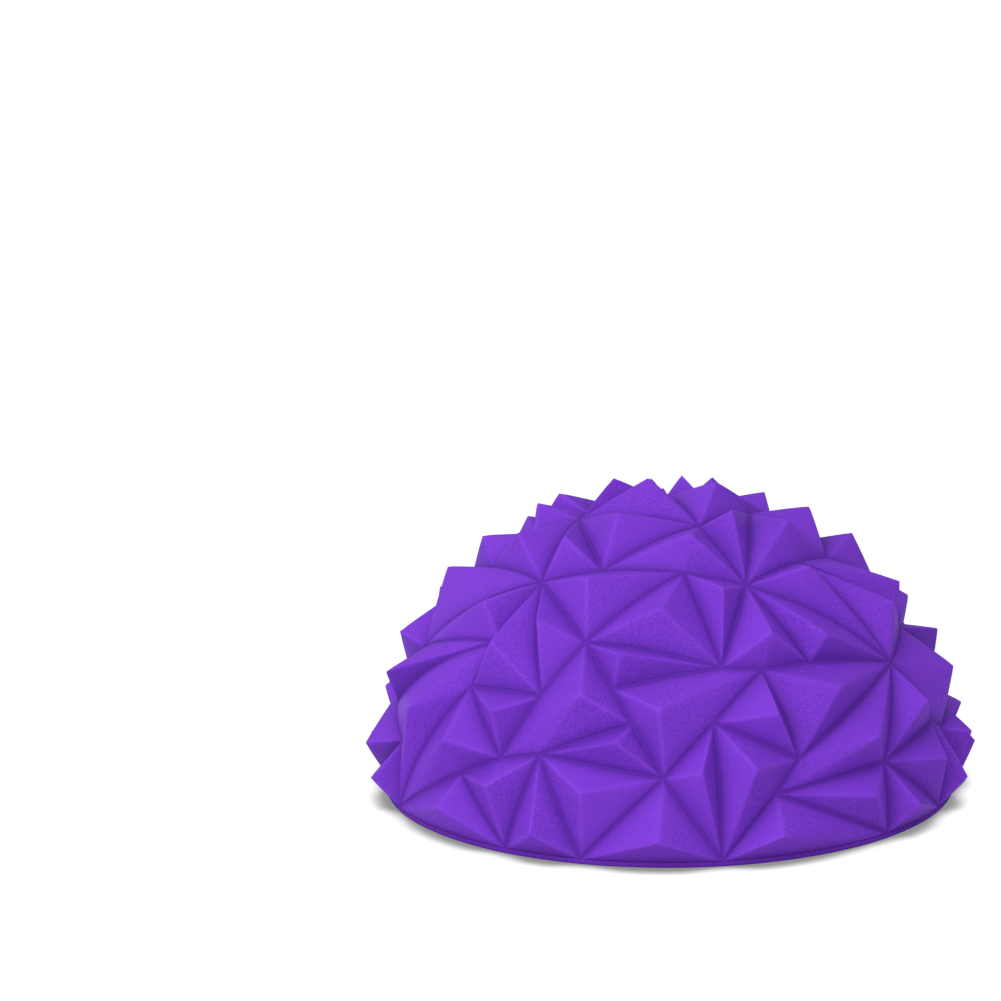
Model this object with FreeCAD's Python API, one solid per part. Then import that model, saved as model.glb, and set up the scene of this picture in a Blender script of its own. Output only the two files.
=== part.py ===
import FreeCAD, Part
import math
import os

# Balance dome trainer: a hollow, air-filled half ball of soft PVC with a faceted skin, a flat base
# and an air valve in the middle of the base. Millimetres, +Z up, origin at the middle of the flat
# underside. Azimuth 0 is the front (-Y), and azimuth grows towards +X.

# Driving dimensions
PEAK_R = 80.8            # the peaks of all facets reach this sphere, so the dome is 160 wide, 80 high
RIM_R = 74.0             # radius of the base, and of the groove net where it meets the base
RIM_Z = 1.4              # height of the plain edge band of the base
SKIN = 2.5               # wall of the dome
ARC_STEPS = 3            # straight pieces in each groove between two nodes of the net

FLOOR_TOP = 3.2          # inside face of the base
FOOT_INNER_R = 62.0      # the outer foot ring runs from here to the rim
RECESS_DEPTH = 1.0       # the middle of the underside is raised by this much
SPIGOT_R = 70.8          # the step of the base that locates the dome
RIB_RADII = (24.0, 34.0, 44.0, 54.0)
RIB_WIDTH = 2.0
RIB_DEPTH = 0.7          # the anti-slip ribs stop short of the floor

BOSS_R = 9.0             # boss inside the dome, round the valve
BOSS_TOP = 15.0
POCKET_R = 8.5           # pocket in the underside for the valve flange and the plug head
POCKET_TOP = 4.0
POCKET_WALL = 2.0        # the raised wall round the pocket

FLANGE_R = 8.4
FLANGE_BOTTOM = 2.9
BARREL_R = 5.0
BARREL_TOP = 16.5
BORE_BOTTOM_R = 2.7      # tapered air bore of the valve
BORE_TOP_R = 2.2

HEAD_R = 6.4             # plug head, with room round it for a fingernail
HEAD_BOTTOM = 1.1
HEAD_EDGE = 0.4
STEM_TOP = 14.5
STEM_CLEARANCE = 0.06
BEAD_HEIGHTS = (6.0, 10.0)
BEAD_WIDTH = 1.2
GROOVE_CUT = 0.25        # the stem is this much thinner between its sealing beads

# The net of grooves is laid out by hand on the sphere in whole degrees, (azimuth, latitude), and
# lettered by height: a is the rim, where only the azimuth counts, and e is near the pole.
RIM_NODES = {
    "a1": -166, "a2": -137, "a3": -113, "a4": -89, "a5": -68, "a6": -33, "a7": -17,
    "a8": 10, "a9": 47, "a10": 67, "a11": 80, "a12": 104, "a13": 137, "a14": 163,
}
NODES = {
    "b1": (-155, 20), "b2": (-127, 14), "b3": (-95, 11), "b4": (-101, 20), "b6": (-71, 14),
    "b8": (-36, 18), "b9": (-27, 20), "b10": (-1, 17), "b11": (21, 13), "b12": (27, 19),
    "b13": (48, 15), "b14": (71, 18), "b15": (76, 15), "b16": (93, 16), "b17": (104, 16),
    "b18": (122, 15), "b19": (150, 19), "b20": (177, 13),
    "c1": (-168, 33), "c2": (-142, 36), "c3": (-110, 24), "c4": (-84, 31), "c5": (-50, 30),
    "c6": (-48, 40), "c11": (13, 38), "c12": (23, 37), "c13": (36, 37), "c14": (63, 32),
    "c15": (82, 36), "c16": (118, 25), "c17": (139, 31), "c18": (164, 37),
    "d1": (-149, 54), "d2": (-124, 45), "d3": (-116, 58), "d4": (-108, 42), "d5": (-87, 52),
    "d6": (-48, 55), "d8": (-22, 43), "d10": (28, 56), "d12": (80, 56), "d13": (97, 41),
    "d14": (113, 56), "d15": (119, 50), "d16": (146, 52), "d17": (177, 54),
    "e1": (-176, 77), "e2": (-155, 66), "e3": (-107, 73), "e4": (-87, 72), "e6": (27, 76),
    "e8": (118, 65), "e9": (140, 77), "e10": (176, 62),
}
# Nodes part of the way along a longer straight groove: (start, end, fraction).
NODES_ON_GROOVES = {
    "b5": ("b6", "b4", 0.50), "b7": ("a5", "b8", 0.71), "d7": ("d6", "d10", 0.31),
    "d9": ("d6", "d10", 0.70), "d11": ("d10", "d12", 0.59), "c7": ("d8", "b8", 0.48),
    "c8": ("d8", "b10", 0.37), "c9": ("d8", "b10", 0.62), "c10": ("c12", "b10", 0.51),
    "e5": ("d5", "e4", 0.50), "e7": ("e6", "e8", 0.63),
}
# Each facet group: the nodes round it, anticlockwise from outside, and its peak.
CELLS = (
    ("a1 b1 b20", (-166, 11)), ("a1 a2 b1", (-153, 7)), ("a2 b2 b1", (-141, 11)),
    ("a2 a3 b2", (-126, 5)), ("a3 a4 b3 b2", (-99, 7)), ("a4 b6 b5 b4 b3", (-81, 10)),
    ("a4 a5 b6", (-72, 6)), ("a5 a6 b7", (-46, 7)), ("a6 a7 b9", (-25, 6)), ("a7 a8 b10", (-2, 6)),
    ("a8 a9 b11", (20, 6)), ("a9 b13 b11", (40, 10)), ("a10 b13 a9", (51, 6)),
    ("a10 b14 b13", (62, 12)), ("a10 a11 b15 b14", (71, 6)), ("a11 b16 b15", (81, 12)),
    ("a11 a12 b16", (92, 7)), ("a12 a13 b18", (119, 6)), ("a13 a14 b19 b18", (144, 9)),
    ("a14 b20 b19", (163, 10)), ("a1 b20 a14", (178, 5)), ("b1 c1 c18 b20", (-174, 25)),
    ("b1 b2 c3 c2", (-135, 24)), ("b2 b3 b4 c3", (-104, 15)),
    ("b4 b5 c6 c4", (-81, 24)), ("a5 c5 c6 b5 b6", (-61, 22)), ("a5 b7 b8 c5", (-47, 19)),
    ("a6 b9 b8 b7", (-35, 13)), ("a7 b10 b9", (-16, 14)), ("b10 c9 b9", (-10, 23)),
    ("a8 c10 b10", (6, 18)), ("a8 b11 b12 c10", (16, 18)), ("b11 b13 c14 b12", (43, 20)),
    ("b13 b14 c14", (61, 23)), ("b14 b15 b16 b17 c15 c14", (84, 24)),
    ("a12 b18 b17 b16", (101, 12)), ("b18 b19 c17", (137, 21)), ("b19 b20 c18", (164, 24)),
    ("b1 c2 c1", (-155, 30)), ("c2 c3 d2", (-127, 38)), ("c3 d4 d2", (-113, 35)),
    ("b4 c4 d4 c3", (-95, 29)), ("c5 c7 d6 c6", (-44, 38)), ("b8 c7 c5", (-37, 26)),
    ("b8 b9 c9 c8 d8 c7", (-18, 31)), ("b10 c10 c12 c11 c8 c9", (-2, 29)),
    ("b12 c12 c10", (22, 27)), ("b12 c14 c13 c12", (37, 30)), ("b17 c16 c15", (95, 29)),
    ("c15 c16 d15 d13", (110, 33)), ("b17 b18 c17 c16", (122, 21)), ("b19 c18 c17", (151, 29)),
    ("c1 c2 d1 d17", (-159, 45)), ("c2 d2 d1", (-138, 45)), ("d2 d4 d3", (-115, 48)),
    ("c4 d6 d5 d4", (-98, 44)), ("c4 c6 d6", (-54, 45)), ("c7 d8 d6", (-34, 44)),
    ("c11 d8 c8", (-11, 39)), ("c11 d9 d8", (-2, 48)), ("c11 c12 c13 d10", (25, 42)),
    ("c13 c14 d10", (39, 40)), ("c14 c15 d11", (70, 41)), ("c15 d13 d12 d11", (87, 42)),
    ("c16 c17 d16 d15", (130, 42)), ("c17 c18 d17 d16", (158, 44)), ("c1 d17 c18", (176, 42)),
    ("d17 e2 e10", (-179, 60)), ("d1 e2 d17", (-160, 59)), ("d1 d2 d3", (-130, 53)),
    ("d3 e5 e4 e3", (-107, 64)), ("d3 d4 d5 e5", (-103, 52)), ("d5 d6 e4 e5", (-71, 60)),
    ("d6 d7 e4", (-45, 63)), ("d6 d8 d9 d7", (-25, 54)), ("c11 d10 d9", (16, 52)),
    ("c14 d11 d10", (48, 54)), ("d12 d13 d15 d14", (104, 52)), ("d12 d14 e8 e7", (109, 61)),
    ("d14 d15 d16 e8", (126, 57)), ("d16 e9 e8", (137, 62)), ("d16 d17 e10", (168, 57)),
    ("e1 e10 e2", (-172, 68)), ("e1 e2 e3 e4", (-135, 76)), ("d1 d3 e3 e2", (-120, 66)),
    ("d7 e6 e4", (-30, 72)), ("d10 e6 d7 d9", (10, 66)), ("d10 e7 e6", (41, 72)),
    ("d10 d11 d12 e7", (64, 65)), ("d16 e10 e9", (153, 71)), ("e1 e9 e10", (171, 72)),
    ("e1 e4 e6", (-120, 86)), ("e1 e6 e7 e8 e9", (98, 81)),
)

Vector = FreeCAD.Vector


def direction(azimuth, latitude):
    """Unit vector from the middle of the base."""
    a = math.radians(azimuth)
    b = math.radians(latitude)
    return Vector(math.sin(a) * math.cos(b), -math.cos(a) * math.cos(b), math.sin(b))


def along_great_circle(start, end, fraction):
    """Unit vector part of the way from one unit vector to another."""
    angle = start.getAngle(end)
    a = math.sin((1 - fraction) * angle) / math.sin(angle)
    b = math.sin(fraction * angle) / math.sin(angle)
    return start * a + end * b


def lay_net(rim_r):
    """Direction of every node of the net, for a skin whose rim has this radius."""
    rim_latitude = math.degrees(math.atan2(RIM_Z, rim_r))
    net = {name: direction(azimuth, rim_latitude) for name, azimuth in RIM_NODES.items()}
    for name, (azimuth, latitude) in NODES.items():
        net[name] = direction(azimuth, latitude)
    for name, (start, end, fraction) in NODES_ON_GROOVES.items():
        net[name] = along_great_circle(net[start], net[end], fraction)
    return net


def rim_point(rim_r, azimuth):
    a = math.radians(azimuth)
    return Vector(rim_r * math.sin(a), -rim_r * math.cos(a), RIM_Z)


def rim_points(rim_r, start, end):
    """Points round the rim from one rim node to the next, the shorter way."""
    turn = (RIM_NODES[end] - RIM_NODES[start] + 180) % 360 - 180
    steps = [turn * i / ARC_STEPS for i in range(ARC_STEPS + 1)]
    return [rim_point(rim_r, RIM_NODES[start] + step) for step in steps]


def groove_points(net, groove_r, start, end):
    """Points along a groove, on the groove sphere. Both directions give the same points."""
    first, last = sorted((start, end))
    points = []
    for i in range(ARC_STEPS + 1):
        points.append(along_great_circle(net[first], net[last], i / ARC_STEPS) * groove_r)
    return points if first == start else points[::-1]


def triangle(a, b, c):
    return Part.Face(Part.makePolygon([a, b, c, a]))


def skin_faces(rim_r, peak_r):
    """The facets of one skin: from every peak, a fan of triangles down to the grooves round it."""
    net = lay_net(rim_r)
    groove_r = math.hypot(rim_r, RIM_Z)
    faces = []
    for names, (azimuth, latitude) in CELLS:
        ring = names.split()
        peak = direction(azimuth, latitude) * peak_r
        for start, end in zip(ring, ring[1:] + ring[:1]):
            if start in RIM_NODES and end in RIM_NODES:
                points = rim_points(rim_r, start, end)
            else:
                points = groove_points(net, groove_r, start, end)
            faces += [triangle(p, q, peak) for p, q in zip(points, points[1:])]
    return faces


def rim_wire(rim_r):
    """Closed outline of a skin where it stands on the base."""
    names = sorted(RIM_NODES, key=RIM_NODES.get)
    points = []
    for start, end in zip(names, names[1:] + names[:1]):
        points += rim_points(rim_r, start, end)[:-1]
    return Part.makePolygon(points + points[:1])


def make_dome_shell():
    """Faceted skin of even thickness, open underneath, standing on the edge of the base."""
    outside = skin_faces(RIM_R, PEAK_R)
    inside = [face.reversed() for face in skin_faces(RIM_R - SKIN, PEAK_R - SKIN)]
    inner_wire = rim_wire(RIM_R - SKIN)
    inner_wire.reverse()
    edge = Part.Face([rim_wire(RIM_R), inner_wire]).reversed()
    shell = Part.Shell(outside + inside + [edge])
    shell.sewShape()
    return Part.Solid(shell)


def cylinder(radius, bottom, top):
    return Part.makeCylinder(radius, top - bottom, Vector(0, 0, bottom))


def ring(inner_r, outer_r, bottom, top):
    return cylinder(outer_r, bottom, top).cut(cylinder(inner_r, bottom, top))


def make_base_disc():
    """Flat base: edge band and foot ring, raised middle with ribs, and the boss for the valve."""
    disc = cylinder(RIM_R, 0, RIM_Z).fuse(cylinder(SPIGOT_R, RIM_Z, FLOOR_TOP))
    disc = disc.fuse(cylinder(BOSS_R + POCKET_WALL, FLOOR_TOP, POCKET_TOP + POCKET_WALL))
    disc = disc.fuse(cylinder(BOSS_R, POCKET_TOP, BOSS_TOP))
    disc = disc.cut(ring(POCKET_R + POCKET_WALL, FOOT_INNER_R, 0, RECESS_DEPTH))
    for radius in RIB_RADII:
        half = RIB_WIDTH / 2
        disc = disc.fuse(ring(radius - half, radius + half, RECESS_DEPTH - RIB_DEPTH, RECESS_DEPTH))
    disc = disc.cut(cylinder(POCKET_R, 0, POCKET_TOP))
    disc = disc.cut(cylinder(BARREL_R, 0, BOSS_TOP))
    return disc.removeSplitter().Solids[0]


def revolve(profile):
    """Solid of revolution about Z from (radius, height) points."""
    points = [Vector(r, 0, z) for r, z in profile]
    face = Part.Face(Part.makePolygon(points + points[:1]))
    return face.revolve(Vector(0, 0, 0), Vector(0, 0, 1), 360)


def bore_radius(height):
    """Radius of the tapered air bore at a height."""
    fraction = (height - FLANGE_BOTTOM) / (BARREL_TOP - FLANGE_BOTTOM)
    return BORE_BOTTOM_R + (BORE_TOP_R - BORE_BOTTOM_R) * fraction


def make_valve_insert():
    """Flanged bush with a tapered air bore, moulded into the base from below."""
    return revolve([
        (BORE_BOTTOM_R, FLANGE_BOTTOM), (FLANGE_R, FLANGE_BOTTOM), (FLANGE_R, POCKET_TOP),
        (BARREL_R, POCKET_TOP), (BARREL_R, BARREL_TOP), (BORE_TOP_R, BARREL_TOP),
    ])


def make_valve_plug():
    """Stopper: a low head with a rounded edge, and a tapered stem with two sealing beads."""
    profile = [
        (0, HEAD_BOTTOM), (HEAD_R - HEAD_EDGE, HEAD_BOTTOM), (HEAD_R, HEAD_BOTTOM + HEAD_EDGE),
        (HEAD_R, FLANGE_BOTTOM), (bore_radius(FLANGE_BOTTOM) - STEM_CLEARANCE, FLANGE_BOTTOM),
    ]
    for height in BEAD_HEIGHTS:
        low = height - BEAD_WIDTH / 2
        high = height + BEAD_WIDTH / 2
        thin = STEM_CLEARANCE + GROOVE_CUT
        profile += [
            (bore_radius(low - GROOVE_CUT) - thin, low - GROOVE_CUT),
            (bore_radius(low) - STEM_CLEARANCE, low),
            (bore_radius(high) - STEM_CLEARANCE, high),
            (bore_radius(high + GROOVE_CUT) - thin, high + GROOVE_CUT),
        ]
    end_r = bore_radius(STEM_TOP) - STEM_CLEARANCE - GROOVE_CUT
    profile += [(end_r, STEM_TOP - HEAD_EDGE), (end_r - HEAD_EDGE, STEM_TOP), (0, STEM_TOP)]
    return revolve(profile)


os.makedirs("parts", exist_ok=True)
PARTS = {
    "dome_shell": make_dome_shell(),
    "base_disc": make_base_disc(),
    "valve_insert": make_valve_insert(),
    "valve_plug": make_valve_plug(),
}
for part_name, shape in PARTS.items():
    shape.exportStep("parts/" + part_name + ".step")
    box = shape.BoundBox
    print(part_name, "valid", shape.isValid(), "volume cm3", round(shape.Volume / 1000, 2),
          "x", round(box.XMin, 2), round(box.XMax, 2), "y", round(box.YMin, 2), round(box.YMax, 2),
          "z", round(box.ZMin, 2), round(box.ZMax, 2))
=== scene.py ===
import math

import bmesh
import bpy
import numpy as np
from mathutils import Matrix, Vector


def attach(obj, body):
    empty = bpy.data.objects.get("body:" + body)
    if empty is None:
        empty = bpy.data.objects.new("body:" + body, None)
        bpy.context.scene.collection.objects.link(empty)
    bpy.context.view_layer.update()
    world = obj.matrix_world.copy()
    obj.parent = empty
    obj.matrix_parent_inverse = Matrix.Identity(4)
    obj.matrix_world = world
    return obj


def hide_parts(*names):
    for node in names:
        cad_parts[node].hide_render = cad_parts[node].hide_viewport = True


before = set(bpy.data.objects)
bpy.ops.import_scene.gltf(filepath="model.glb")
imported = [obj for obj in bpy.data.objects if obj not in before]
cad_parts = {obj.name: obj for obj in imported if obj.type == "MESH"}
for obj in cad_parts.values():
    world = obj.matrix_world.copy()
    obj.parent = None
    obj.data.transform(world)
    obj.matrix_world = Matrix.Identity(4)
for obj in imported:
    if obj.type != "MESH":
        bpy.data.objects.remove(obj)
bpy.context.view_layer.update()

# Balance dome trainer: a faceted half ball of soft PVC on a flat base, with an air valve
# underneath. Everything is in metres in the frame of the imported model: +Z up, front towards -Y.

MM = 0.001

# Dome skin
SPACING = 0.90 * MM          # distance between neighbouring points of the mesh
CHANNEL_HALF = 0.45 * MM     # the facets stop this far from the middle of a groove
FLOOR_HALF = 0.25 * MM       # half the width of a groove's flat floor
CHANNEL_DEPTH = 0.22 * MM    # the floor lies this far under the edge of the facets
RIM_GAP = 0.22 * MM          # the facets stop this far above the base
PARTING_DEPTH = 0.16 * MM    # depth of the parting line between the facets and the base
BULGE = 0.15                 # 0 for flat facets, 1 for facets that follow the dome's curve
ROUNDING_PASSES = 3          # how often the ridges are softened
ROUNDING = 0.5               # how far a pass moves a point towards the middle of its neighbours
RIDGE_FULL = 0.25 * MM       # a ridge lowered this much by the rounding shows its painted highlight in full
VALLEY_SHADE = 6.0 * MM      # the shade of a groove fades out this far up a facet
DOME_CREASE = math.radians(38)     # edges sharper than this stay sharp on the dome

# Reading the CAD dome
MERGE = 0.02 * MM            # points closer than this are one point
SAME_LEVEL = 0.05 * MM       # points this close in height count as level
PEAK_BAND = 1.0 * MM         # peaks lie this close to the outermost point

# Turned pieces
TURNED_CREASE = math.radians(35)   # edges sharper than this stay sharp on them
BASE_SEGMENTS = 288
VALVE_SEGMENTS = 96

# Studio: azimuth 0 is the front, 90 the right, all angles in degrees
STUDIO_AZIMUTH, STUDIO_ELEVATION = -30, 42
STUDIO_LEVEL = 0.82
STUDIO_CONTRAST = 1.0        # 0 for an even studio, 1 for one that is black opposite its key side
SUN_AZIMUTH, SUN_ELEVATION = -32, 38
SUN_SPREAD = 40
SUN_STRENGTH = 1.65
FLOOR_HALF_SIDE = 8          # in metres
CONTACT_REACH = 5.5 * MM     # the painted contact shadow on the floor reaches this far out from the pod

# Camera
TARGET = Vector((0, 0, 0.036))
CAMERA_DISTANCE = 0.96
CAMERA_ELEVATION = math.radians(14.7)
CAMERA_ROLL = math.radians(-0.34)
LENS = 132.66                      # focal length in mm
SENSOR_WIDTH = 36.0                # in mm
AIM_RIGHT = math.radians(2.601)    # the target shows this far right of the middle of the view
AIM_DOWN = math.radians(2.279)     # and this far below it


def unit(v):
    return v / np.linalg.norm(v)


def slerp(a, b, fraction):
    """Direction part of the way along the great circle from a to b."""
    angle = math.acos(max(-1.0, min(1.0, float(np.dot(a, b)))))
    if angle < 1e-6:
        return a
    return (math.sin((1 - fraction) * angle) * a + math.sin(fraction * angle) * b) / math.sin(angle)


def read_cad_dome():
    """The CAD dome as merged points, triangles, and one ring of groove points round each peak."""
    bm = bmesh.new()
    bm.from_mesh(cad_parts["dome_shell"].data)
    bmesh.ops.remove_doubles(bm, verts=bm.verts, dist=MERGE)
    bmesh.ops.triangulate(bm, faces=bm.faces)
    bm.verts.index_update()
    points = np.array([v.co for v in bm.verts], float)
    triangles = [tuple(v.index for v in f.verts) for f in bm.faces]
    bm.free()
    radius = np.linalg.norm(points, axis=1)
    peaks = np.flatnonzero(radius > radius.max() - PEAK_BAND)
    following = {int(p): {} for p in peaks}
    for triangle in triangles:
        for i in range(3):
            if triangle[i] in following:
                following[triangle[i]][triangle[(i + 1) % 3]] = triangle[(i + 2) % 3]
    rings = {}
    for peak, after in following.items():
        start = min(after)
        ring = [start]
        while after[ring[-1]] != start:
            ring.append(after[ring[-1]])
        rings[peak] = ring
    return points, triangles, rings


class Skin:
    """Collects the points and triangles of the dome's skin."""

    def __init__(self):
        self.points = []
        self.faces = []
        # groove: how much painted shade each point gets from the grooves
        self.groove = []
        self.grain = []
        self.soft = []

    def add(self, point, groove=0.0, grain=0.5, soft=0.0):
        self.points.append(point)
        self.groove.append(groove)
        self.grain.append(grain)
        self.soft.append(soft)
        return len(self.points) - 1

    def stitch(self, low, high):
        """Triangles between two rows of points that run the same way."""
        i = j = 0
        n = len(low) - 1
        m = len(high) - 1
        while i < n or j < m:
            if j == m or (i < n and (i + 0.5) / n <= (j + 0.5) / m):
                self.faces.append((low[i], low[i + 1], high[j]))
                i += 1
            else:
                self.faces.append((low[i], high[j + 1], high[j]))
                j += 1


def arc_steps(points, ring_edge):
    """How many pieces a stretch of groove is cut into."""
    return max(4, round(float(np.linalg.norm(points[ring_edge[0]] - points[ring_edge[1]])) / SPACING))


def inset_corner(corner, normal_in, normal_out, shift_in, shift_out):
    """Direction that lies the given distances inside the two grooves that meet at a corner."""
    across = float(np.dot(normal_in, normal_out))
    if across > 0.995:
        side = (normal_in * shift_in + normal_out * shift_out) / (1 + across)
    else:
        keep = 1 - across * across
        side = normal_in * ((shift_in - across * shift_out) / keep)
        side = side + normal_out * ((shift_out - across * shift_in) / keep)
    return unit(corner * math.sqrt(max(0.0, 1 - float(np.dot(side, side)))) + side)


def make_dome():
    """Dense skin over the CAD dome's net of grooves: soft-edged facets, flat-bottomed grooves
    between them, a parting line at the rim, and the smooth inside face of the CAD dome."""
    points, triangles, rings = read_cad_dome()
    groove_r = float(np.median([np.linalg.norm(points[v]) for ring in rings.values() for v in ring]))
    rim_z = float(points[:, 2].min())
    on_rim = {v for ring in rings.values() for v in ring if points[v][2] < rim_z + SAME_LEVEL}
    meeting = {}
    for ring in rings.values():
        for v in ring:
            meeting[v] = meeting.get(v, 0) + 1
    corners = {v for v, count in meeting.items() if count > 2 or (v in on_rim and count > 1)}
    edge_r = groove_r + 0.5 * CHANNEL_DEPTH
    floor_r = groove_r - 0.5 * CHANNEL_DEPTH
    skin = Skin()

    def on_parting_line(point):
        flat = math.hypot(point[0], point[1])
        reach = (math.sqrt(groove_r ** 2 - rim_z ** 2) - PARTING_DEPTH) / flat
        return np.array([point[0] * reach, point[1] * reach, rim_z])

    # A point's groove value is how much painted shade it gets: full in a groove, less at the facets' edges,
    # fading out up the facets.
    node_points = {}
    for v in sorted(corners):
        place = on_parting_line(points[v]) if v in on_rim else unit(points[v]) * floor_r
        node_points[v] = skin.add(place, groove=1.0)

    middle_rows = {}

    def middle_row(start, end, rim):
        """Points along the middle of a groove, shared by the cells on its two sides."""
        key = (min(start, end), max(start, end))
        if key not in middle_rows:
            first, last = points[key[0]], points[key[1]]
            count = arc_steps(points, key)
            row = [node_points[key[0]]]
            for i in range(1, count):
                way = slerp(unit(first), unit(last), i / count)
                place = on_parting_line(way) if rim else way * floor_r
                row.append(skin.add(place, groove=1.0))
            middle_rows[key] = row + [node_points[key[1]]]
        row = middle_rows[key]
        return row if row[0] == node_points[start] else row[::-1]

    rim_edges = []
    random = np.random.default_rng(7)
    for peak, ring in sorted(rings.items()):
        while ring[0] not in corners:
            ring = ring[1:] + ring[:1]
        stops = [i for i, v in enumerate(ring) if v in corners]
        names = [ring[i] for i in stops]
        count = len(names)
        inner = [ring[i + 1:j] for i, j in zip(stops, stops[1:] + [len(ring)])]
        towards = [unit(points[v]) for v in names]
        rims = [names[i] in on_rim and names[(i + 1) % count] in on_rim for i in range(count)]
        normals = [unit(np.cross(towards[i], towards[(i + 1) % count])) for i in range(count)]
        top_shift = [(RIM_GAP if rim else CHANNEL_HALF) / groove_r for rim in rims]
        low_shift = [(0.5 * RIM_GAP if rim else FLOOR_HALF) / groove_r for rim in rims]
        top_corner, low_corner = [], []
        for i in range(count):
            nearby = (towards[i], normals[i - 1], normals[i])
            top_way = inset_corner(*nearby, top_shift[i - 1], top_shift[i])
            low_way = inset_corner(*nearby, low_shift[i - 1], low_shift[i])
            top_corner.append((top_way, skin.add(top_way * edge_r, groove=0.7)))
            low_corner.append((low_way, skin.add(low_way * floor_r, groove=1.0)))
        peak_way = unit(points[peak])
        peak_r = float(np.linalg.norm(points[peak]))
        slopes = [math.acos(float(np.dot(way, peak_way))) * groove_r for way, _ in top_corner]
        levels = max(6, round(sum(slopes) / count / SPACING))
        tip = skin.add(points[peak], soft=0.4)

        def on_facet(way, t):
            radius = edge_r + (peak_r - edge_r) * t
            flat = way * edge_r * (1 - t) + peak_way * peak_r * t
            return BULGE * slerp(way, peak_way, t) * radius + (1 - BULGE) * flat

        ridges = []
        for way, first in top_corner:
            ridge = [first]
            for k in range(1, levels):
                t = k / levels
                ridge.append(skin.add(on_facet(way, t), groove=0.6 * (1 - t) ** 6, soft=1.0))
            ridges.append(ridge + [tip])
        for i in range(count):
            after = (i + 1) % count
            middle = middle_row(names[i], names[after], rims[i])
            steps = len(middle) - 1
            grain = float(random.random())
            ways = [slerp(top_corner[i][0], top_corner[after][0], s / steps) for s in range(steps + 1)]
            lows = [slerp(low_corner[i][0], low_corner[after][0], s / steps) for s in range(steps + 1)]
            low = [low_corner[i][1]]
            row = [top_corner[i][1]]
            for s in range(1, steps):
                low.append(skin.add(lows[s] * floor_r, groove=1.0))
                row.append(skin.add(ways[s] * edge_r, groove=0.7, grain=grain))
            low.append(low_corner[after][1])
            row.append(top_corner[after][1])
            skin.stitch(middle, low)
            skin.stitch(low, row)
            for k in range(1, levels):
                t = k / levels
                pieces = max(1, round(steps * (1 - t)))
                upper = [ridges[i][k]]
                for s in range(1, pieces):
                    way = slerp(top_corner[i][0], top_corner[after][0], s / pieces)
                    near = max(0.0, 1 - t * slopes[i] / VALLEY_SHADE) ** 2
                    upper.append(skin.add(on_facet(way, t), groove=0.65 * near, grain=grain, soft=1.0))
                upper.append(ridges[after][k])
                skin.stitch(row, upper)
                row = upper
            skin.stitch(row, [tip])
            if rims[i]:
                rim_edges.append((middle, [names[i]] + inner[i] + [names[after]]))
    add_inside(skin, points, triangles, rings, rim_edges)
    return build_skin(skin)


def add_inside(skin, points, triangles, rings, rim_edges):
    """The inside face of the CAD dome, joined to the outside under the rim."""
    outside = set(rings) | {v for ring in rings.values() for v in ring}
    inside = [t for t in triangles if not outside & set(t)]
    number = {}
    for v in sorted({v for t in inside for v in t}):
        # The inside face gets half the painted groove shade.
        number[v] = skin.add(points[v], groove=0.5)
    for t in inside:
        skin.faces.append(tuple(number[v] for v in t))
    rim_z = points[:, 2].min()
    low = [v for v in number if points[v][2] < rim_z + SAME_LEVEL]
    places = np.array([points[v] for v in low])
    for middle, outer in rim_edges:
        nearest = [low[int(np.argmin(np.linalg.norm(places - points[v], axis=1)))] for v in outer]
        skin.stitch([number[v] for v in nearest], middle)


def build_skin(skin):
    """Softens the ridges and makes the mesh. The groove, grain and ridge of each point go with it
    as attributes. A point's groove is how much painted shade it gets, and its ridge is how far the
    softening lowered it, which sets the painted highlight along the ridges."""
    points = np.array(skin.points)
    faces = np.array(skin.faces)
    give = ROUNDING * np.array(skin.soft)[:, None]
    edges = np.concatenate([faces[:, [0, 1]], faces[:, [1, 2]], faces[:, [2, 0]]])
    pairs = np.unique(np.sort(edges, axis=1), axis=0)
    sharp = points.copy()
    count = np.bincount(pairs.ravel(), minlength=len(points))[:, None]
    for _ in range(ROUNDING_PASSES):
        total = np.zeros_like(points)
        np.add.at(total, pairs[:, 0], points[pairs[:, 1]])
        np.add.at(total, pairs[:, 1], points[pairs[:, 0]])
        points += give * (total / count - points)
    corners = sharp[faces]
    tilt = np.cross(corners[:, 1] - corners[:, 0], corners[:, 2] - corners[:, 0])
    normals = np.zeros_like(points)
    for k in range(3):
        np.add.at(normals, faces[:, k], tilt)
    normals /= np.linalg.norm(normals, axis=1)[:, None] + 1e-12
    normals *= np.sign((normals * sharp).sum(axis=1))[:, None]
    lowered = ((sharp - points) * normals).sum(axis=1)
    mesh = bpy.data.meshes.new("dome_skin")
    mesh.from_pydata(points.tolist(), [], faces.tolist())
    layers = {"groove": np.array(skin.groove), "grain": np.array(skin.grain),
              "ridge": np.clip(lowered / RIDGE_FULL, 0, 1)}
    for name, values in layers.items():
        mesh.attributes.new(name, "FLOAT", "POINT").data.foreach_set("value", values.astype(np.float32))
    bm = bmesh.new()
    bm.from_mesh(mesh)
    bmesh.ops.recalc_face_normals(bm, faces=bm.faces)
    bm.to_mesh(mesh)
    bm.free()
    mesh.shade_smooth()
    mesh.set_sharp_from_angle(angle=DOME_CREASE)
    return link("dome_skin", mesh)


def link(name, mesh):
    thing = bpy.data.objects.new(name, mesh)
    bpy.context.scene.collection.objects.link(thing)
    return thing


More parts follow.
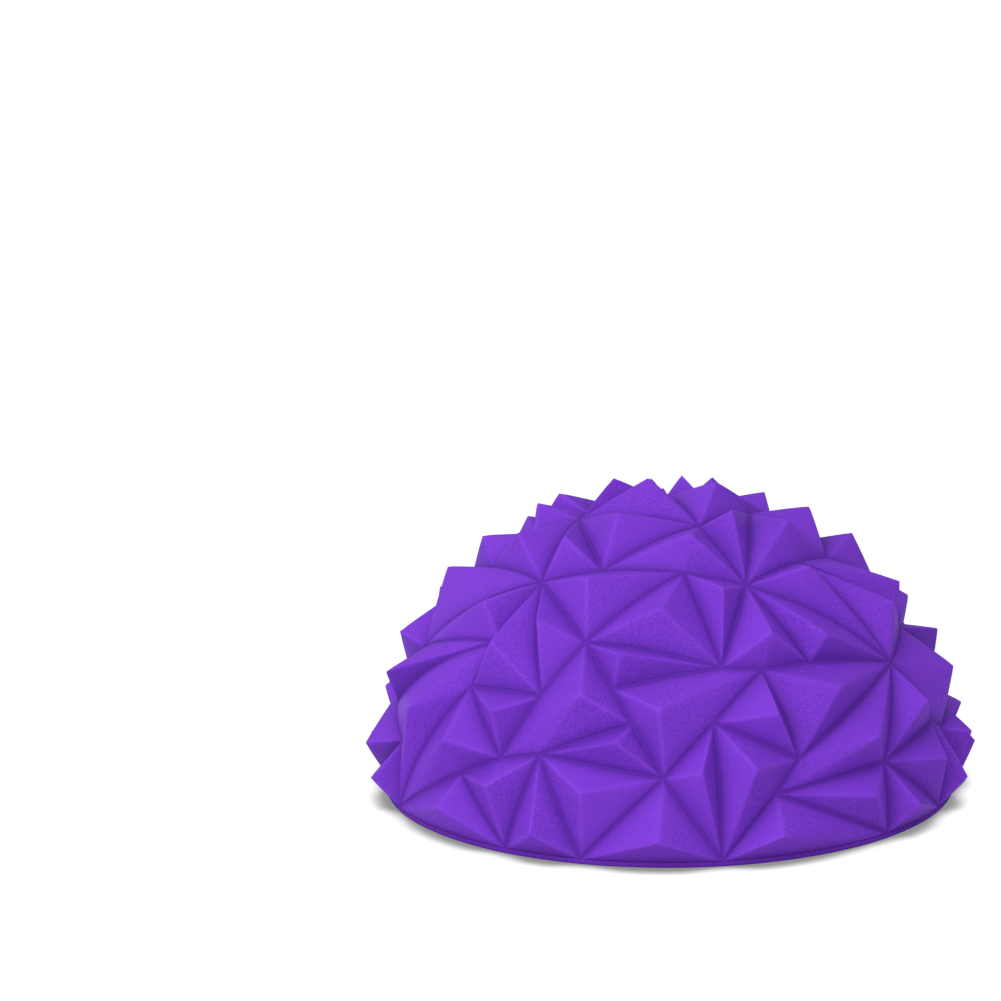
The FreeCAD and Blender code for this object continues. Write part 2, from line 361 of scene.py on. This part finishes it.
# Outlines of the turned pieces: (radius, height, corner radius) in mm, anticlockwise.
RIBS = (24.0, 34.0, 44.0, 54.0)
BASE_OUTLINE = (
    [(74.0, 0.0, 1.0), (74.0, 1.4, 0.15), (70.8, 1.4, 0), (70.8, 3.2, 0.5), (11.0, 3.2, 0.5),
     (11.0, 6.0, 0.5), (9.0, 6.0, 0.3), (9.0, 15.0, 0.8), (5.0, 15.0, 0.3), (5.0, 4.0, 0),
     (8.5, 4.0, 0.2), (8.5, 0.0, 0.4), (10.5, 0.0, 0.4), (10.5, 1.0, 0.2)]
    + [corner for r in RIBS for corner in
       ((r - 1, 1.0, 0.2), (r - 1, 0.3, 0.3), (r + 1, 0.3, 0.3), (r + 1, 1.0, 0.2))]
    + [(62.0, 1.0, 0.3), (62.0, 0.0, 0.5)]
)
INSERT_OUTLINE = [(2.7, 2.9, 0.25), (8.4, 2.9, 0.3), (8.4, 4.0, 0.15), (5.0, 4.0, 0),
                  (5.0, 16.5, 0.5), (2.2, 16.5, 0.2)]
PLUG_OUTLINE = [(0, 1.45, 0), (4.2, 1.45, 0.4), (4.8, 1.1, 0.2), (6.4, 1.1, 0.55), (6.4, 2.9, 0.25),
                (2.64, 2.9, 0), (2.6, 5.1, 0.1), (2.3, 5.2, 0.1), (2.55, 5.4, 0.2), (2.5, 6.6, 0.2),
                (2.25, 6.8, 0.1), (2.2, 9.1, 0.1), (2.4, 9.4, 0.2), (2.35, 10.6, 0.2),
                (2.1, 10.8, 0.1), (1.95, 14.5, 0.5), (0, 14.5, 0)]


def rounded(outline, steps=4):
    """The outline's points in metres, with each corner that has a radius as an arc."""
    count = len(outline)
    result = []
    for i, (r, z, radius) in enumerate(outline):
        here = Vector((r, z))
        if not radius:
            result.append(here * MM)
            continue
        before = Vector(outline[i - 1][:2]) - here
        after = Vector(outline[(i + 1) % count][:2]) - here
        half = before.angle(after) / 2
        reach = min(radius / math.tan(half), 0.45 * before.length, 0.45 * after.length)
        start = here + before.normalized() * reach
        end = here + after.normalized() * reach
        for s in range(steps + 1):
            t = s / steps
            result.append(((1 - t) ** 2 * start + 2 * t * (1 - t) * here + t ** 2 * end) * MM)
    return result


def lathe(name, outline, segments):
    """A turned piece about Z. An outline that starts at radius 0 is closed by the axis."""
    profile = rounded(outline)
    on_axis = outline[0][0] == 0
    points, rows = [], []
    for p in profile:
        if p.x < 1e-9:
            rows.append([len(points)] * segments)
            points.append((0, 0, p.y))
            continue
        rows.append(list(range(len(points), len(points) + segments)))
        for s in range(segments):
            a = 2 * math.pi * s / segments
            points.append((p.x * math.cos(a), p.x * math.sin(a), p.y))
    faces = []
    for i in range(len(rows) - (1 if on_axis else 0)):
        low, high = rows[i], rows[(i + 1) % len(rows)]
        for s in range(segments):
            corners = [low[s], low[(s + 1) % segments], high[(s + 1) % segments], high[s]]
            faces.append(tuple(dict.fromkeys(corners)))
    mesh = bpy.data.meshes.new(name)
    mesh.from_pydata(points, [], faces)
    bm = bmesh.new()
    bm.from_mesh(mesh)
    bmesh.ops.recalc_face_normals(bm, faces=bm.faces)
    bm.to_mesh(mesh)
    bm.free()
    mesh.shade_smooth()
    mesh.set_sharp_from_angle(angle=TURNED_CREASE)
    return link(name, mesh)


def shader_node(tree, kind, inputs, **settings):
    """Adds a node. An input is a number, a colour, or another node's output to link."""
    added = tree.nodes.new(kind)
    for key, value in settings.items():
        setattr(added, key, value)
    for key, value in inputs.items():
        socket = added.inputs[key]
        if isinstance(value, bpy.types.NodeSocket):
            tree.links.new(value, socket)
        else:
            socket.default_value = value
    return added


def noise(tree, place, scale, detail=2.0, roughness=0.5):
    made = shader_node(tree, "ShaderNodeTexNoise", {
        "Vector": place, "Scale": scale, "Detail": detail, "Roughness": roughness})
    return made.outputs["Fac"]


def remap(tree, value, low, high, to_low=0.0, to_high=1.0, curve="LINEAR"):
    made = shader_node(tree, "ShaderNodeMapRange", {
        "Value": value, "From Min": low, "From Max": high, "To Min": to_low, "To Max": to_high},
        interpolation_type=curve)
    return made.outputs["Result"]


def math_node(tree, operation, a, b):
    return shader_node(tree, "ShaderNodeMath", {0: a, 1: b}, operation=operation).outputs[0]


def blend_colours(tree, factor, a, b):
    made = shader_node(tree, "ShaderNodeMix", {0: factor, 6: a, 7: b}, data_type="RGBA", blend_type="MIX")
    return made.outputs[2]


def attribute(tree, name):
    return shader_node(tree, "ShaderNodeAttribute", {}, attribute_name=name).outputs["Fac"]


def start_material(name):
    material = bpy.data.materials.new(name)
    material.use_nodes = True
    tree = material.node_tree
    tree.nodes.clear()
    place = shader_node(tree, "ShaderNodeTexCoord", {}).outputs["Object"]
    return material, tree, place


def end_material(tree, colour, roughness, height, bump_distance, **constants):
    bump = shader_node(tree, "ShaderNodeBump", {
        "Height": height, "Distance": bump_distance, "Strength": 1.0})
    shader = shader_node(tree, "ShaderNodeBsdfPrincipled", {
        "Base Color": colour, "Roughness": roughness, "Normal": bump.outputs["Normal"]})
    for key, value in constants.items():
        shader.inputs[key.replace("_", " ")].default_value = value
    output = shader_node(tree, "ShaderNodeOutputMaterial", {})
    tree.links.new(shader.outputs[0], output.inputs["Surface"])


PURPLE = (0.135, 0.0290, 0.422, 1)
# lighter purple for the painted ridge highlight and for the bubbles
PURPLE_HIGHLIGHT_AND_BUBBLE = (0.165, 0.041, 0.488, 1)
# darker purple for the grain and for the painted groove shade
PURPLE_GRAIN_AND_SHADE = (0.072, 0.015, 0.243, 1)
PURPLE_CLOUD = (0.128, 0.0275, 0.402, 1)
PURPLE_BASE = (0.090, 0.018, 0.290, 1)
PURPLE_BASE_CLOUD = (0.080, 0.015, 0.260, 1)
PURPLE_VALVE = (0.120, 0.030, 0.400, 1)
PURPLE_VALVE_DEEP = (0.085, 0.020, 0.300, 1)
PLUG_WHITE = (0.70, 0.70, 0.68, 1)
PLUG_CLOUD = (0.62, 0.62, 0.61, 1)
FLOOR_WHITE = (1.0, 1.0, 1.0, 1)
FLOOR_CLOUD = (0.98, 0.98, 0.98, 1)


def dome_material():
    """Moulded soft PVC: fine grain that some facets show more and the grooves most, a painted highlight
    along the ridges, painted shade in the grooves and near them, with a few tiny bubbles in the surface."""
    material, tree, place = start_material("dome_pvc")
    cloud = noise(tree, place, 28.0)
    fine = noise(tree, place, 2400.0, 1.0, 0.6)
    # groove: the painted shade in the grooves and up the facets near them
    groove = attribute(tree, "groove")
    grain = remap(tree, attribute(tree, "grain"), 0.1, 0.9, 0.35, 1.0)
    # The painted groove shade also makes the dark grain speckle stronger there.
    grain = math_node(tree, "MAXIMUM", grain, groove)
    bubble_cells = shader_node(tree, "ShaderNodeTexVoronoi", {"Vector": place, "Scale": 130.0})
    bubble_size = remap(tree, bubble_cells.outputs["Distance"], 0.05, 0.09, 1.0, 0.0)
    chosen = shader_node(tree, "ShaderNodeSeparateColor", {"Color": bubble_cells.outputs["Color"]})
    is_bubble = math_node(tree, "GREATER_THAN", chosen.outputs[0], 0.93)
    bubbles = math_node(tree, "MULTIPLY", bubble_size, is_bubble)
    tone = blend_colours(tree, remap(tree, cloud, 0.35, 0.65), PURPLE, PURPLE_CLOUD)
    speckle = math_node(tree, "MULTIPLY", remap(tree, fine, 0.42, 0.70), grain)
    # Dark grain speckle, a painted highlight on the ridges, painted shade in the grooves, lighter bubbles.
    for amount, share, colour in (
            (speckle, 0.75, PURPLE_GRAIN_AND_SHADE), (attribute(tree, "ridge"), 0.45, PURPLE_HIGHLIGHT_AND_BUBBLE),
            (groove, 0.9, PURPLE_GRAIN_AND_SHADE), (bubbles, 0.5, PURPLE_HIGHLIGHT_AND_BUBBLE)):
        tone = blend_colours(tree, math_node(tree, "MULTIPLY", amount, share), tone, colour)
    roughness = remap(tree, fine, 0.3, 0.7, 0.5, 0.62)
    height = math_node(tree, "MULTIPLY", fine, grain)
    height = math_node(tree, "ADD", height, bubbles)
    end_material(tree, tone, roughness, height, 0.10 * MM, Specular_IOR_Level=0.03)
    return material


def base_material():
    """The same PVC on the base: a matte stipple moulded in, with a fine darker speckle."""
    material, tree, place = start_material("base_pvc")
    fine = noise(tree, place, 1200.0, 3.0, 0.6)
    cloud = noise(tree, place, 30.0)
    stipple = shader_node(tree, "ShaderNodeTexVoronoi", {"Vector": place, "Scale": 700.0})
    tone = blend_colours(tree, remap(tree, cloud, 0.35, 0.65), PURPLE_BASE, PURPLE_BASE_CLOUD)
    tone = blend_colours(tree, remap(tree, fine, 0.5, 0.8, 0.0, 0.35), tone, PURPLE_GRAIN_AND_SHADE)
    roughness = remap(tree, fine, 0.3, 0.7, 0.55, 0.7)
    height = math_node(tree, "ADD", fine, stipple.outputs["Distance"])
    end_material(tree, tone, roughness, height, 0.05 * MM, Specular_IOR_Level=0.03)
    return material


def insert_material():
    """Softer grade of the PVC: darker, smoother, with fine turning marks from its mould."""
    material, tree, place = start_material("valve_pvc")
    fine = noise(tree, place, 1800.0, 2.0)
    rings = shader_node(tree, "ShaderNodeTexWave", {
        "Vector": place, "Scale": 900.0, "Distortion": 0.4}, wave_type="RINGS", rings_direction="Z")
    tone = blend_colours(tree, remap(tree, fine, 0.35, 0.7), PURPLE_VALVE, PURPLE_VALVE_DEEP)
    height = math_node(tree, "ADD", fine, math_node(tree, "MULTIPLY", rings.outputs["Fac"], 0.3))
    end_material(tree, tone, remap(tree, fine, 0.3, 0.7, 0.42, 0.55), height, 0.02 * MM)
    return material


def plug_material():
    """Natural white polyethylene: waxy, slightly cloudy, with a fine matte grain."""
    material, tree, place = start_material("plug_polyethylene")
    cloud = noise(tree, place, 160.0)
    fine = noise(tree, place, 2200.0, 3.0)
    tone = blend_colours(tree, cloud, PLUG_WHITE, PLUG_CLOUD)
    end_material(tree, tone, remap(tree, fine, 0.3, 0.7, 0.35, 0.48), fine, 0.015 * MM,
                 Subsurface_Weight=0.15)
    return material


def finish_piece(piece, body, node, material):
    piece.data.materials.append(material)
    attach(piece, body)
    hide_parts(node)


def add_floor():
    """Plain white light table under the pod, out past the camera's view. Its glow holds a painted
    contact shadow in the gap under the pod's overhanging facets and a painted glow right under the
    pod that lights the underside, and it is clear when it is seen from below."""
    mesh = bpy.data.meshes.new("floor")
    h = FLOOR_HALF_SIDE
    mesh.from_pydata([(-h, -h, 0), (h, -h, 0), (h, h, 0), (-h, h, 0)], [], [(0, 1, 2, 3)])
    floor = link("floor", mesh)
    material, tree, place = start_material("floor_white")
    soft = noise(tree, place, 3.0)
    tone = blend_colours(tree, soft, FLOOR_WHITE, FLOOR_CLOUD)
    openness = shader_node(tree, "ShaderNodeAmbientOcclusion", {"Distance": CONTACT_REACH}).outputs["AO"]
    # Painted contact shadow: the floor's glow is dimmer where the pod closes the floor in.
    glow_with_painted_shadow = remap(tree, openness, 0.3, 1.0, 0.28, 1.07, "SMOOTHSTEP")
    # Painted light: right under the pod the floor glows brighter to light the underside.
    underneath = remap(tree, openness, 0.03, 0.10, 0.9, 0.0)
    glow = math_node(tree, "MAXIMUM", glow_with_painted_shadow, underneath)
    lit = shader_node(tree, "ShaderNodeEmission", {"Color": tone, "Strength": glow})
    clear = shader_node(tree, "ShaderNodeBsdfTransparent", {})
    from_below = shader_node(tree, "ShaderNodeNewGeometry", {}).outputs["Backfacing"]
    both = shader_node(tree, "ShaderNodeMixShader", {0: from_below, 1: lit.outputs[0], 2: clear.outputs[0]})
    output = shader_node(tree, "ShaderNodeOutputMaterial", {})
    tree.links.new(both.outputs[0], output.inputs["Surface"])
    mesh.materials.append(material)


def add_world(azimuth, elevation, level, contrast):
    """A large soft studio: bright on the side of the key light, dim on the opposite side.
    Azimuth 0 is the front, 90 the right."""
    a, e = math.radians(azimuth), math.radians(elevation)
    key = (math.sin(a) * math.cos(e), -math.cos(a) * math.cos(e), math.sin(e))
    world = bpy.data.worlds.new("studio")
    world.use_nodes = True
    tree = world.node_tree
    place = shader_node(tree, "ShaderNodeTexCoord", {}).outputs["Generated"]
    towards_key = shader_node(tree, "ShaderNodeVectorMath", {0: place, 1: key}, operation="DOT_PRODUCT")
    dim = level * (1 - contrast)
    bright = level * (1 + contrast)
    strength = remap(tree, towards_key.outputs["Value"], -1.0, 1.0, dim, bright)
    background = tree.nodes["Background"]
    background.inputs["Color"].default_value = (1, 1, 1, 1)
    tree.links.new(strength, background.inputs["Strength"])
    bpy.context.scene.world = world


def add_sun(name, azimuth, elevation, spread, strength):
    """A soft light from one side, the same everywhere. Azimuth 0 is the front, 90 the right."""
    data = bpy.data.lights.new(name, "SUN")
    data.energy = strength
    data.angle = math.radians(spread)
    lamp = bpy.data.objects.new(name, data)
    a, e = math.radians(azimuth), math.radians(elevation)
    away = Vector((math.sin(a) * math.cos(e), -math.cos(a) * math.cos(e), math.sin(e)))
    lamp.rotation_euler = away.to_track_quat("Z", "Y").to_euler()
    bpy.context.scene.collection.objects.link(lamp)


def add_camera():
    """Camera above the front of the pod, turned so that the pod sits right of and below the
    middle of the picture."""
    forward = Vector((0, math.cos(CAMERA_ELEVATION), -math.sin(CAMERA_ELEVATION)))
    right = Vector((1, 0, 0))
    up = right.cross(forward)
    turned_right = right * math.cos(CAMERA_ROLL) + up * math.sin(CAMERA_ROLL)
    turned_up = up * math.cos(CAMERA_ROLL) - right * math.sin(CAMERA_ROLL)
    towards_target = Matrix((turned_right, turned_up, -forward)).transposed()
    seen = Vector((math.tan(AIM_RIGHT), -math.tan(AIM_DOWN), -1)).normalized()
    turn = seen.rotation_difference(Vector((0, 0, -1))).to_matrix()
    data = bpy.data.cameras.new("camera")
    data.sensor_width = SENSOR_WIDTH
    data.lens = LENS
    data.clip_end = 40
    camera = bpy.data.objects.new("camera", data)
    place = TARGET - forward * CAMERA_DISTANCE
    camera.matrix_world = Matrix.Translation(place) @ (towards_target @ turn).to_4x4()
    bpy.context.scene.collection.objects.link(camera)
    bpy.context.scene.camera = camera


finish_piece(make_dome(), "dome", "dome_shell", dome_material())
finish_piece(lathe("base_plate", BASE_OUTLINE, BASE_SEGMENTS), "dome", "base_disc",
             base_material())
finish_piece(lathe("valve_bush", INSERT_OUTLINE, VALVE_SEGMENTS), "dome", "valve_insert",
             insert_material())
finish_piece(lathe("valve_stopper", PLUG_OUTLINE, VALVE_SEGMENTS), "plug", "valve_plug",
             plug_material())

add_camera()
add_floor()
add_world(STUDIO_AZIMUTH, STUDIO_ELEVATION, STUDIO_LEVEL, STUDIO_CONTRAST)
add_sun("key", SUN_AZIMUTH, SUN_ELEVATION, SUN_SPREAD, SUN_STRENGTH)
bpy.context.scene.view_settings.view_transform = "Standard"
